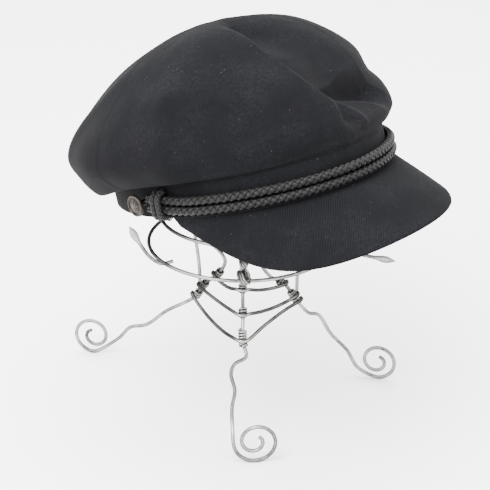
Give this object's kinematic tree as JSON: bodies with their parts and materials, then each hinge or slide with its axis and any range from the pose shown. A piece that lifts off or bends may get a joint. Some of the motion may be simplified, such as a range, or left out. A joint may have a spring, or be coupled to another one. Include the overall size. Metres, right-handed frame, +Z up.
{
  "type": "fiddler cap on wire stand",
  "caption": "Soft dark cloth fiddler cap with a stiff peak and plaited cords held by metal buttons, tipped back on a small stand bent from steel wire with scroll feet.",
  "frame": {"origin": "on the floor, under the middle of the box round the cap and its stand", "axes": "+Z up; -Y the way the peak points; -X the wearer's right"},
  "size_m": [0.2204, 0.2844, 0.2757],
  "materials": {
    "cloth": "fine matt twill",
    "cord": "plaited, slightly glossy strands",
    "button": "aged, dull",
    "wire": "drawn wire"
  },
  "bodies": {
    "root": {"crown": "cloth", "band": "cloth", "peak": "cloth", "cord_lower": "cord", "cord_upper": "cord", "keeper_right": "cord", "keeper_left": "cord", "button_right": "button", "button_left": "button", "leg_front": "wire", "leg_left": "wire", "leg_right": "wire", "web_low": "wire", "web_mid": "wire", "web_high": "wire", "cradle_low": "wire", "cradle_high": "wire", "head_ring": "wire", "stay_left": "wire", "stay_right": "wire", "arm_left": "wire", "arm_right": "wire"}
  },
  "joints": []
}
